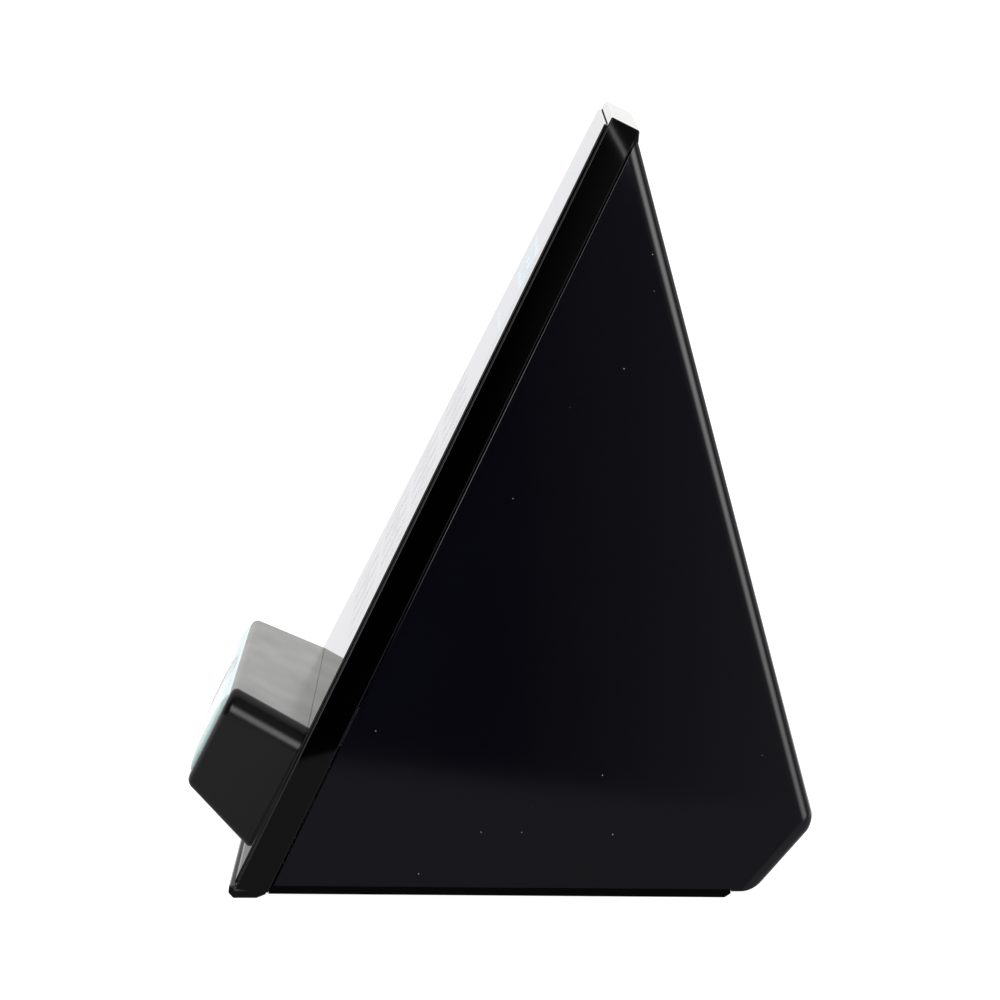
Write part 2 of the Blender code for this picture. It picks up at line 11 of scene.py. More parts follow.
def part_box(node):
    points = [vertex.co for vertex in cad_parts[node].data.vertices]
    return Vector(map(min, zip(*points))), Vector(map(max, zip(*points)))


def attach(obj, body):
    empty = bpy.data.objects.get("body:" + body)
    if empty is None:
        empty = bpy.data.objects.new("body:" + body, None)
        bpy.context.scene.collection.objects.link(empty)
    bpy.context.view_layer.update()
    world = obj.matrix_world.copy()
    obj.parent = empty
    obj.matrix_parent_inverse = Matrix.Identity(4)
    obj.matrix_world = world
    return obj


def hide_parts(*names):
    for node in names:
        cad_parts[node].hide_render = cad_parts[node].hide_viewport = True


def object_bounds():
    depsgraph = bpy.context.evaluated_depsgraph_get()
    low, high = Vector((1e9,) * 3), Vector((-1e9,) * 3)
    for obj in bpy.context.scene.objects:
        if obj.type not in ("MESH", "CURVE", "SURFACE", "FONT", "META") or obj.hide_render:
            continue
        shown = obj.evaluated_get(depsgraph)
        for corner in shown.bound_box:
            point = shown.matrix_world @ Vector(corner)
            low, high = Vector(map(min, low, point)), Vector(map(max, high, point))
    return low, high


bl_info = {
    "name": "Desktop time clock",
    "version": (1, 0, 0),
    "blender": (4, 5, 0),
    "location": "View3D > Sidebar > Clock",
    "description": "Builds the shells, face, reader, sockets and studio of a desktop time clock",
    "category": "Object",
}

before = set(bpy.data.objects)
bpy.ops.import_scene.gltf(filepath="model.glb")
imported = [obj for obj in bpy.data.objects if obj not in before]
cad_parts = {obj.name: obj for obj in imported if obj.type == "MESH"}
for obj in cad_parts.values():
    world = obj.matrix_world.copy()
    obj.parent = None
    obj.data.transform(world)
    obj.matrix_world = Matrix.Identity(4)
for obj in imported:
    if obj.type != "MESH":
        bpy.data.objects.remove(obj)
cad_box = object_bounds()

MM = 0.001
GAP = 0.3

# ---- the clock's planes, in millimetres, placed by the frame ------------------------------------
LEAN = math.radians(26.4)
SIN, COS, TAN = math.sin(LEAN), math.cos(LEAN), math.tan(LEAN)
SIDE_DRAFT = 0.19
BACK_DRAFT = 0.2627
BEZEL_FRONT, BEZEL_BACK = 0.9, 9.0
PLATE_BOTTOM, PLATE_TOP, PLATE_THICK = 4.1, 221.0, 2.0
TOP_S = 223.5
WALL = 2.4
HOUSING_TOP_Z = 193.0

plate_low, plate_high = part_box("face_plate")
FACE_Y = plate_low.y / MM - PLATE_BOTTOM * SIN          # where the face plane meets the table
HALF_WIDTH = cad_box[1].x / MM + 0.02                   # half width at the table
CENTRE_Y = FACE_Y + 70.3
BACK_Y = 87.55 + CENTRE_Y
CHAMFER_LOW = Vector((0, 66.9 + CENTRE_Y, 1.4))
CHAMFER_HIGH = Vector((0, 82.7 + CENTRE_Y, 18.5))
COVER_FRONT, COVER_REAR = (-59.1 + CENTRE_Y, 1.0), (58.9 + CENTRE_Y, 0.1)
COVER_THICK = 2.0
COVER_TAIL = (60.6 + CENTRE_Y, 1.2)
TOE_BACK_Y = -60.1 + CENTRE_Y

FACE_OUT, FACE_UP, X_AXIS = Vector((0, -COS, SIN)), Vector((0, SIN, COS)), Vector((1, 0, 0))
SIDE_OUT = Vector((1, 0, SIDE_DRAFT)).normalized()
SIDE_OUT_FAR = Vector((-SIDE_OUT.x, 0, SIDE_OUT.z))
CHAMFER_UP = (CHAMFER_HIGH - CHAMFER_LOW).normalized()
CHAMFER_OUT = Vector((0, CHAMFER_UP.z, -CHAMFER_UP.y))
CHAMFER_MID = (CHAMFER_LOW + CHAMFER_HIGH) / 2
BACK_OUT = Vector((0, 1, BACK_DRAFT)).normalized()
BACK_UP = Vector((0, -BACK_DRAFT, 1)).normalized()

# reader block: lengths up the face (s) and half widths, at its base and at its front
READER_TOP_S, READER_LOW_S, READER_FRONT_LOW_S, READER_DEPTH = 46.3, 9.3, 16.9, 22.0
READER_BASE_HALF, READER_FRONT_HALF = (48.6, 58.4), (44.7, 52.5)
READER_WALL = 2.2
LENS_INSET, LENS_CORNERS = 2.6, (3.4, 3.0)
FINGER_HALF, FINGER_S = 9.5, (20.5, 42.5)
DISPLAY_HALF, DISPLAY_S = 28.0, (150.0, 194.0)
RIBBON_SLOT = ((-12.0, 12.0), (28.0, 33.0))
PORTS_X = {"power": -42.0, "network": -14.0, "usb": 12.0, "reset": 28.0, "switch": 44.0}
SPEAKER_Z = 64.0


def side(z):
    return HALF_WIDTH - SIDE_DRAFT * z


def face(x, s, d):
    """A point across the face (x), up it (s) and into the clock from it (d)."""
    return Vector((x, FACE_Y + s * SIN + d * COS, s * COS - d * SIN))


def face_side(s, d, inset):
    return side(face(0, s, d).z) - inset


def chamfer(x, t, n):
    """A point across the chamfer (x), up it from its middle (t) and out of it (n)."""
    return CHAMFER_MID + X_AXIS * x + CHAMFER_UP * t + CHAMFER_OUT * n


def back(x, t, n):
    """A point on the back wall around the speaker, t up and n out of the wall."""
    middle = Vector((0, back_line(SPEAKER_Z), SPEAKER_Z))
    return middle + X_AXIS * x + BACK_UP * t + BACK_OUT * n


def back_line(z):
    """How far back the back plane lies at height z."""
    return BACK_Y - BACK_DRAFT * z


def at_depth(d, z):
    """The (y, z) point at height z on the plane that lies d behind the face."""
    return FACE_Y + z * TAN + d / COS, z


def straight(x, y, z):
    return Vector((x, y, z))


def cover_z(y):
    """Height of the base cover's underside."""
    share = (y - COVER_FRONT[0]) / (COVER_REAR[0] - COVER_FRONT[0])
    return COVER_FRONT[1] + share * (COVER_REAR[1] - COVER_FRONT[1])


def node_box(name):
    """Low corner, high corner and middle of a frame node's box, in millimetres."""
    low, high = [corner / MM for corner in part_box(name)]
    return low, high, (low + high) / 2


# ---- settings -----------------------------------------------------------------------------------
def length_property(name, description, default):
    return FloatProperty(name=name, description=description, default=default, unit="LENGTH")


def colour_property(name, description, default):
    return FloatVectorProperty(name=name, description=description, default=default, subtype="COLOR")


def share_property(name, description, default):
    return FloatProperty(name=name, description=description, default=default, min=0.0, max=1.0,
                         subtype="FACTOR")


class ClockShape(bpy.types.PropertyGroup):
    """Edge sizes and the layout of the face."""

    housing_round: length_property("Housing rounding", "Radius of the housing's rear edges", 3.7 * MM)
    bezel_round: length_property("Bezel rounding", "Radius of the bezel's edges", 0.4 * MM)
    plate_edge: length_property("Plate edge", "Width of the polished edge round the face plate", 0.35 * MM)
    reader_shoulder: length_property("Reader shoulder", "Radius between the reader's top and sides",
                                     6.0 * MM)
    reader_round: length_property("Reader rounding", "Radius of the reader's front edges", 1.8 * MM)
    key_pitch_x: length_property("Key pitch across", "Distance between touch key columns", 19.0 * MM)
    key_pitch_s: length_property("Key pitch up", "Distance between touch key rows", 18.5 * MM)
    key_rows: IntProperty(name="Key rows", description="Rows of touch keys", default=4, min=1)


class ClockFinish(bpy.types.PropertyGroup):
    """Colours and gloss of the clock's materials."""

    gloss_black: colour_property("Gloss black", "Colour of the face plate and bezel",
                                 (0.0004, 0.0004, 0.0008))
    satin_black: colour_property("Satin black", "Colour of the housing", (0.0022, 0.0022, 0.0042))
    reader_black: colour_property("Reader black", "Colour of the reader block", (0.0035, 0.0035, 0.0037))
    lens_teal: colour_property("Lens teal", "Tint of the reader's lens", (0.42, 0.60, 0.58))
    print_grey: colour_property("Print grey", "Colour of the printed key outlines", (0.16, 0.17, 0.18))
    screen_blue: colour_property("Screen", "Colour of the lit digits", (0.25, 0.62, 0.9))
    gloss_rough: share_property("Gloss roughness", "Roughness of the glossy pieces", 0.022)
    satin_rough: share_property("Satin roughness", "Roughness of the housing", 0.045)


class ClockStudio(bpy.types.PropertyGroup):
    """Camera and light."""

    distance: length_property("Camera distance", "From the clock's middle plane to the camera", 1.0758)
    height: length_property("Camera height", "Height of the camera above the table", 0.2756)
    tilt: FloatProperty(name="Camera tilt", description="How far the camera looks down",
                        default=math.radians(9.62), subtype="ANGLE", unit="ROTATION")
    lens: FloatProperty(name="Focal length", description="Focal length on a 36 mm sensor", default=144.0)
    top_power: FloatProperty(name="Top light", description="Power of the soft light overhead", default=26.0,
                             unit="POWER")


# ---- mesh tools ---------------------------------------------------------------------------------
def hull(points):
    """A convex solid through some corner points, with its flat faces whole."""
    bm = bmesh.new()
    for point in points:
        bm.verts.new(point)
    result = bmesh.ops.convex_hull(bm, input=bm.verts)
    spare = [item for item in result["geom_interior"] + result["geom_unused"]
             if isinstance(item, bmesh.types.BMVert)]
    bmesh.ops.delete(bm, geom=list(dict.fromkeys(spare)), context="VERTS")
    bmesh.ops.dissolve_limit(bm, angle_limit=math.radians(0.6), verts=bm.verts, edges=bm.edges)
    bmesh.ops.recalc_face_normals(bm, faces=bm.faces)
    return bm


def box_hull(place, a, b, c):
    return hull([place(i, j, k) for i in a for j in b for k in c])


def extruded(profile, inset):
    """Corner points of a (y, z) profile drawn out to the leaning sides, less an inset."""
    return [Vector((sign * (side(z) - inset), y, z)) for y, z in profile for sign in (-1, 1)]


def faces_out(edge, *directions):
    """True if the edge joins faces that look along all the given directions."""
    normals = [item.normal for item in edge.link_faces]
    return len(normals) == 2 and all(
        any(normal.dot(direction) > 0.9 for normal in normals) for direction in directions)


def runs_along(edge, direction):
    return abs((edge.verts[0].co - edge.verts[1].co).normalized().dot(direction)) > 0.98


def round_edges(bm, wanted, radius, segments):
    bm.normal_update()
    edges = [edge for edge in bm.edges if wanted(edge)]
    bmesh.ops.bevel(bm, geom=edges, offset=radius, offset_type="OFFSET", segments=segments,
                    profile=0.5, affect="EDGES", material=-1, clamp_overlap=True)


def keep_behind(bm, point, outward):
    """Cut the solid off flat at a plane and close it there."""
    everything = list(bm.verts) + list(bm.edges) + list(bm.faces)
    result = bmesh.ops.bisect_plane(bm, geom=everything, plane_co=point, plane_no=outward, clear_outer=True)
    rim = [item for item in result["geom_cut"] if isinstance(item, bmesh.types.BMEdge)]
    bmesh.ops.contextual_create(bm, geom=rim)


def rod(centre, axis, radius, length, sides=48, far_radius=None):
    bm = bmesh.new()
    turn = Vector((0, 0, 1)).rotation_difference(Vector(axis)).to_matrix().to_4x4()
    bmesh.ops.create_cone(bm, cap_ends=True, segments=sides, radius1=radius, depth=length,
                          radius2=radius if far_radius is None else far_radius,
                          matrix=Matrix.Translation(centre) @ turn)
    return bm


def slab(place, along, a, b, c, corner, edge, outward):
    """A plate with rounded corners and a small rounding round its outer face."""
    bm = box_hull(place, a, b, c)
    if corner:
        round_edges(bm, lambda e: runs_along(e, along), corner, 6)
    if edge:
        round_edges(bm, lambda e: faces_out(e, outward), edge, 2)
    return bm


def capsule(place, half_length, middle_b, radius, c):
    """A slot cutter with round ends, along the first coordinate of place."""
    points = []
    for end in (-1, 1):
        for step in range(12):
            angle = math.pi * 2 * step / 12
            points += [place(end * half_length + radius * math.cos(angle),
                             middle_b + radius * math.sin(angle), depth) for depth in c]
    return hull(points)


def add_to_scene(name, data):
    made = bpy.data.objects.new(name, data)
    bpy.context.scene.collection.objects.link(made)
    return made


def mesh_from(bm, name, finish):
    """Turn a bmesh, which is used up, into an object with one material."""
    mesh = bpy.data.meshes.new(name)
    bm.to_mesh(mesh)
    bm.free()
    mesh.materials.append(finish)
    return add_to_scene(name, mesh)


def piece(name, bm, finish, body="clock", stands_for=(), crease=35, weighted=True):
    """Make a finished object from a bmesh in millimetres."""
    bmesh.ops.recalc_face_normals(bm, faces=bm.faces)
    bmesh.ops.scale(bm, vec=(MM, MM, MM), verts=bm.verts)
    made = mesh_from(bm, name, finish)
    if body:
        finish_piece(made, body, stands_for, crease, weighted)
    return made


def finish_piece(made, body, stands_for=(), crease=35, weighted=True):
    made.data.shade_smooth()
    made.data.set_sharp_from_angle(angle=math.radians(crease))
    if weighted:
        even = made.modifiers.new("even_shading", "WEIGHTED_NORMAL")
        even.keep_sharp = True
    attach(made, body)
    if stands_for:
        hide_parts(*stands_for)
    return made


def boolean(target, bm, operation):
    """Join or cut a finished mesh with a bmesh, which is used up."""
    tool = piece("tool", bm, target.data.materials[0], body=None)
    step = target.modifiers.new(operation.lower(), "BOOLEAN")
    step.operation = operation
    step.solver = "EXACT"
    step.object = tool
    bpy.context.view_layer.objects.active = target
    bpy.ops.object.modifier_apply(modifier=step.name)
    spent = tool.data
    bpy.data.objects.remove(tool, do_unlink=True)
    bpy.data.meshes.remove(spent)
    return target


def cut(target, bm):
    return boolean(target, bm, "DIFFERENCE")


def join(target, bm):
    return boolean(target, bm, "UNION")


# ---- materials ----------------------------------------------------------------------------------
class Graph:
    """The nodes of a material or a world."""

    def __init__(self, owner):
        owner.use_nodes = True
        self.nodes, self.link = owner.node_tree.nodes, owner.node_tree.links.new

    def put(self, socket, level):
        """Set an input to a value, or wire it to another node's output."""
        if isinstance(level, bpy.types.NodeSocket):
            self.link(level, socket)
        else:
            socket.default_value = level

    def add(self, kind, **levels):
        """A new node with some inputs set; an underscore stands for the space in an input's name."""
        made = self.nodes.new("ShaderNode" + kind)
        for name, level in levels.items():
            self.put(made.inputs[name.replace("_", " ")], level)
        return made

    def math(self, operation, *values):
        made = self.add("Math")
        made.operation = operation
        for socket, value in zip(made.inputs, values):
            self.put(socket, value)
        return made.outputs[0]

    def spread(self, value, low, high, start=0.3, end=0.7):
        """Map a pattern between two levels."""
        return self.add("MapRange", Value=value, From_Min=start, From_Max=end, To_Min=low,
                        To_Max=high).outputs["Result"]

    def window(self, value, rise, fall):
        """1 between two edges of a value and 0 outside them, with soft edges."""
        up, down = (self.add("MapRange", Value=value, From_Min=start, From_Max=end, To_Min=low,
                             To_Max=1.0 - low) for (start, end), low in ((rise, 0.0), (fall, 1.0)))
        up.interpolation_type = down.interpolation_type = "SMOOTHSTEP"
        return self.math("MULTIPLY", up.outputs["Result"], down.outputs["Result"])


class Finish(Graph):
    """A material whose patterns are fixed to the piece that wears it."""

    def __init__(self, name, **levels):
        self.material = bpy.data.materials.new(name)
        super().__init__(self.material)
        self.shader = self.nodes["Principled BSDF"]
        self.place = self.add("TexCoord").outputs["Object"]
        self.shade(**levels)

    def shade(self, **levels):
        for name, level in levels.items():
            self.put(self.shader.inputs[name.replace("_", " ")], level)

    def noise(self, scale, detail=3.0):
        return self.add("TexNoise", Scale=scale, Detail=detail, Vector=self.place).outputs["Fac"]

    def cells(self, scale):
        """Distance from the nearest of many scattered points."""
        return self.add("TexVoronoi", Scale=scale, Vector=self.place).outputs["Distance"]

    def blend(self, share, first, second):
        """Mix two colours, each either a value or another node's output."""
        made = self.add("Mix")
        made.data_type = "RGBA"
        self.put(made.inputs[0], share)
        for socket, tint in ((made.inputs[6], first), (made.inputs[7], second)):
            self.put(socket, tint if isinstance(tint, bpy.types.NodeSocket) else (*tint, 1.0))
        return made.outputs[2]

    def cloudy(self, pattern, colour, darker, paler=1.0):
        """A colour that drifts between two shades of itself with a pattern."""
        share = self.spread(pattern, 0.0, 1.0)
        return self.blend(share, *([part * factor for part in colour] for factor in (darker, paler)))

    def bump(self, height, distance, strength):
        made = self.add("Bump", Distance=distance, Strength=strength, Height=height)
        self.shade(Normal=made.outputs["Normal"])


def plastic(name, colour, rough, grain_scale, grain_depth, dust=0.0, ior=1.5):
    """Moulded plastic: slight colour and gloss variation, moulding grain and a few specks of dust."""
    made = Finish(name, IOR=ior)
    tint = made.cloudy(made.noise(14.0), colour, 0.85, 1.15)
    gloss = made.spread(made.noise(60.0), rough * 0.88, rough * 1.14)
    if dust:
        speck = made.spread(made.cells(115.0), 1.0, 0.0, dust * 0.6, dust)
        tint = made.blend(speck, tint, (0.45, 0.45, 0.44))
    made.shade(Base_Color=tint, Roughness=gloss)
    made.bump(made.noise(grain_scale, 2.0), grain_depth, 1.0)
    return made.material


def rubber(name, colour):
    made = Finish(name)
    made.shade(Base_Color=made.cloudy(made.noise(240.0, 5.0), colour, 0.7, 1.3),
               Roughness=made.spread(made.noise(500.0), 0.75, 0.92))
    made.bump(made.noise(1500.0), 0.00005, 0.6)
    return made.material


def metal(name, colour, rough, brushed=(1.0, 1.0, 14.0)):
    """Metal with fine streaks along one direction."""
    made = Finish(name, Metallic=1.0)
    made.place = made.add("Mapping", Scale=brushed, Vector=made.place).outputs["Vector"]
    streak = made.noise(700.0, 4.0)
    made.shade(Base_Color=made.cloudy(streak, colour, 0.85),
               Roughness=made.spread(streak, rough * 0.8, rough * 1.3))
    made.bump(streak, 0.00002, 0.4)
    return made.material


def board(name):
    """Printed circuit board: green mask over traces, with small pale pads."""
    made = Finish(name)
    traces = made.add("TexBrick", Scale=140.0, Mortar_Size=0.06, Color1=(0.008, 0.075, 0.03, 1.0),
                      Color2=(0.01, 0.10, 0.04, 1.0), Mortar=(0.02, 0.16, 0.06, 1.0), Vector=made.place)
    pad = made.spread(made.cells(320.0), 1.0, 0.0, 0.16, 0.2)
    made.shade(Base_Color=made.blend(pad, traces.outputs["Color"], (0.55, 0.45, 0.2)),
               Roughness=made.spread(traces.outputs["Fac"], 0.35, 0.5, 0.0, 1.0))
    made.bump(traces.outputs["Fac"], 0.00004, 0.5)
    return made.material


def glass(name, colour, rough, clear, ior=1.5):
    """Tinted glass or clear plastic, with slightly uneven gloss."""
    made = Finish(name, IOR=ior, Transmission_Weight=clear)
    made.shade(Base_Color=made.cloudy(made.noise(90.0), colour, 0.9),
               Roughness=made.spread(made.noise(120.0), rough * 0.7, rough * 1.5))
    return made.material


def lit(name, colour, strength, rough=0.03):
    """A glossy printed or lit area whose own light varies a little over its surface."""
    made = Finish(name, Roughness=rough)
    tint = made.cloudy(made.noise(120.0), colour, 0.88)
    made.shade(Base_Color=tint)
    if strength:
        made.shade(Emission_Color=tint, Emission_Strength=strength)
    return made.material


def make_materials():
    tone = bpy.context.scene.clock_finish
    return {
        "gloss": plastic("gloss_black_face", tone.gloss_black, tone.gloss_rough, 45.0, 0.0000025),
        "bezel": plastic("gloss_black_bezel", tone.gloss_black, tone.gloss_rough, 60.0, 0.000003, 0.010),
        "satin": plastic("satin_black_housing", tone.satin_black, tone.satin_rough, 2600.0, 0.0000003,
                         0.019),
        "reader": plastic("satin_black_reader", tone.reader_black, 0.24, 2600.0, 0.0000035, 0.014),
        "base": plastic("base_black", (0.0008, 0.0008, 0.0008), 0.5, 2200.0, 0.000006, ior=1.12),
        "matt": plastic("matt_black_inner", (0.012, 0.012, 0.013), 0.55, 1800.0, 0.00002),
        "rubber": rubber("foot_rubber", (0.018, 0.018, 0.018)),
        "teal": glass("teal_lens", tone.lens_teal, 0.04, 0.0),
        "glass": glass("finger_glass", (0.55, 0.85, 0.74), 0.05, 0.85),
        "steel": metal("bright_steel", (0.62, 0.63, 0.65), 0.28),
        "gold": metal("gold_contacts", (0.83, 0.62, 0.25), 0.22),
        "board": board("circuit_board"),
        "ribbon": plastic("ribbon_film", (0.55, 0.43, 0.22), 0.4, 900.0, 0.00001),
        "wrap": plastic("battery_wrap", (0.02, 0.06, 0.24), 0.35, 300.0, 0.00002),
        "print": lit("printed_grey", tone.print_grey, 0.0),
        "screen": lit("screen_dark", (0.001, 0.002, 0.004), 0.0),
        "digits": lit("screen_digits", tone.screen_blue, 0.06),
        "light": lit("status_light", (0.1, 0.85, 0.35), 0.06),
        "white_plastic": plastic("white_insulator", (0.7, 0.7, 0.68), 0.4, 900.0, 0.00001),
    }


FINISHES = {}


# ---- face plate, its print and the display ------------------------------------------------------
def face_trapezoid(s_range, d_range, inset):
    points = []
    for s in s_range:
        for d in d_range:
            half = face_side(s, d, inset)
            points += [face(-half, s, d), face(half, s, d)]
    return hull(points)


PRINT_DEPTH = (-0.012, 0.012)      # the print lies a hair proud of the plate


def ring(x_range, s_range, corner, line, name, finish):
    """A thin printed outline with rounded corners."""
    outer = slab(face, FACE_OUT, x_range, s_range, PRINT_DEPTH, corner, 0, FACE_OUT)
    made = piece(name, outer, finish, body=None)
    inner_x, inner_s = ((low + line, high - line) for low, high in (x_range, s_range))
    cut(made, slab(face, FACE_OUT, inner_x, inner_s, (-0.5, 0.5), corner - line, 0, FACE_OUT))
    return finish_piece(made, "clock", weighted=False)


def face_text(name, words, x, s, height, finish, depth=PRINT_DEPTH):
    """Digits laid on the face, centred on a point."""
    curve = bpy.data.curves.new(name, "FONT")
    curve.body = words
    curve.size = height * MM * 1.38
    curve.align_x, curve.align_y = "CENTER", "CENTER"
    curve.extrude = (depth[1] - depth[0]) * MM / 2
    curve.resolution_u = 4
    holder = bpy.data.objects.new(name + "_curve", curve)
    mesh = bpy.data.meshes.new_from_object(holder)
    bpy.data.objects.remove(holder)
    bpy.data.curves.remove(curve)
    mesh.name = name
    turn = Matrix((X_AXIS, FACE_UP, FACE_OUT)).transposed().to_4x4()
    mesh.transform(Matrix.Translation(face(x, s, (depth[0] + depth[1]) / 2) * MM) @ turn)
    mesh.materials.clear()
    mesh.materials.append(finish)
    return finish_piece(add_to_scene(name, mesh), "clock", crease=30, weighted=False)


def face_mark(name, outline, x, s, finish, depth=PRINT_DEPTH):
    """A small flat symbol on the face, from a convex outline of (x, s) offsets."""
    mark = hull([face(x + a, s + b, d) for a, b in outline for d in depth])
    return piece(name, mark, finish, weighted=False)


class CLOCK_OT_face(bpy.types.Operator):
    """Make the glossy face plate, its printed touch keys and the display"""

    bl_idname = "clock.face"
    bl_label = "Face plate"

    def execute(self, context):
        shape = context.scene.clock_shape
        corner, edge = 1.6, shape.plate_edge / MM
        plate = face_trapezoid((PLATE_BOTTOM, PLATE_TOP), (0.0, PLATE_THICK), 1.5)
        round_edges(plate, lambda e: runs_along(e, FACE_OUT), corner, 6)
        round_edges(plate, lambda e: faces_out(e, FACE_OUT), edge, 3)
        plate = piece("face_glass", plate, FINISHES["gloss"], body=None)
        cut(plate, box_hull(face, *RIBBON_SLOT, (-2.0, 4.0)))
        finish_piece(plate, "clock", ("face_plate",))
        self.keys(shape)
        self.display()
        return {"FINISHED"}

    def keys(self, shape):
        pitch_x, pitch_s = shape.key_pitch_x / MM, shape.key_pitch_s / MM
        legends = ["1", "2", "3", None, "4", "5", "6", None, "7", "8", "9", None, None, "0", None, None]
        arrow = [(-2.2, -1.2), (2.2, -1.2), (0.0, 1.8)]
        pointer = [(1.2, -2.2), (1.2, 2.2), (-1.8, 0.0)]
        dash = [(-2.6, -0.35), (2.6, -0.35), (2.6, 0.35), (-2.6, 0.35)]
        dot = [(1.9 * math.cos(a * math.pi / 8), 1.9 * math.sin(a * math.pi / 8)) for a in range(16)]
        marks = {3: arrow, 7: [(a, -b) for a, b in arrow], 11: dash, 12: pointer,
                 14: [(-a, b) for a, b in pointer], 15: dot}
        for number in range(4 * shape.key_rows):
            row, column = divmod(number, 4)
            x = (column - 1.5) * pitch_x
            s = 132.0 - row * pitch_s
            half_x, half_s = pitch_x / 2 - 1.6, pitch_s / 2 - 1.6
            ring((x - half_x, x + half_x), (s - half_s, s + half_s), 2.2, 0.28, f"key_outline_{number:02d}",
                 FINISHES["print"])
            if legends[number]:
                face_text(f"key_digit_{number:02d}", legends[number], x, s, 5.2, FINISHES["print"])
            else:
                face_mark(f"key_mark_{number:02d}", marks[number], x, s, FINISHES["print"])

    def display(self):
        margin = 2.0
        window = slab(face, FACE_OUT, (-DISPLAY_HALF, DISPLAY_HALF), DISPLAY_S, (-0.01, 0.02),
                      1.0, 0, FACE_OUT)
        piece("display_window", window, FINISHES["screen"], weighted=False)
        lit_depth = (-0.022, 0.0)
        middle = sum(DISPLAY_S) / 2
        face_text("display_time", "08:30", 0.0, middle + 4.0, 13.0, FINISHES["digits"], lit_depth)
        for number in range(7):
            x = (number - 3) * 5.6
            mark = [(-1.9, -0.35), (1.9, -0.35), (1.9, 0.35), (-1.9, 0.35)]
            face_mark(f"display_day_{number}", mark, x, DISPLAY_S[0] + 9.0, FINISHES["digits"], lit_depth)
        ring((-DISPLAY_HALF + margin, DISPLAY_HALF - margin),
             (DISPLAY_S[0] + margin, DISPLAY_S[1] - margin), 1.0, 0.18, "display_border", FINISHES["print"])
        dot = rod(face(0, 204.0, 0.0), FACE_OUT, 1.1, 0.03, 24)
        piece("status_light", dot, FINISHES["light"], weighted=False)


# ---- bezel --------------------------------------------------------------------------------------
class CLOCK_OT_bezel(bpy.types.Operator):
    """Make the glossy bezel with its moulded toe"""

    bl_idname = "clock.bezel"
    bl_label = "Bezel"

    def execute(self, context):
        radius = context.scene.clock_shape.bezel_round / MM
        top_front, top_back = face(0, TOP_S, BEZEL_FRONT), face(0, TOP_S, BEZEL_BACK)
        body = hull(extruded([at_depth(BEZEL_FRONT, 4.2), (top_front.y, top_front.z),
                              (top_back.y, top_back.z), at_depth(BEZEL_BACK, 1.4),
                              (TOE_BACK_Y - 8.3, 2.4)], 0.0))
        round_edges(body, lambda e: not faces_out(e, Vector((0, 0, -1))), radius, 4)
        shell = piece("bezel_shell", body, FINISHES["bezel"], body=None)
        toe = [(TOE_BACK_Y - 9.8, 1.4), (TOE_BACK_Y - 8.5, 0.0), (TOE_BACK_Y - 2.5, 0.0), (TOE_BACK_Y, 1.0),
               (TOE_BACK_Y - 9.6, 3.2), (TOE_BACK_Y, 3.2)]
        toe_body = hull(extruded(toe, 0.02))
        round_edges(toe_body, lambda e: True, 0.3, 3)
        join(shell, toe_body)
        lip_z = HOUSING_TOP_Z + 0.1
        lip = hull(extruded([(back_line(lip_z), lip_z), (top_back.y, top_back.z - 0.2),
                             (top_back.y - 2.0, top_back.z), (back_line(lip_z) - 2.5, lip_z)], 0.02))
        round_edges(lip, lambda e: not runs_along(e, X_AXIS), radius, 4)
        join(shell, lip)
        seat = face_trapezoid((PLATE_BOTTOM - GAP, PLATE_TOP + GAP), (-2.0, 3.0), 1.2)
        round_edges(seat, lambda e: runs_along(e, FACE_OUT), 1.9, 6)
        cut(shell, seat)
        cut(shell, face_trapezoid((12.0, TOP_S - 4.0), (5.0, 12.0), 3.4))
        cut(shell, box_hull(face, (-30.3, 30.3), (147.7, 196.3), (2.0, 8.0)))
        cut(shell, box_hull(face, *RIBBON_SLOT, (2.0, 8.0)))
        finish_piece(shell, "clock", ("front_bezel",))
        return {"FINISHED"}


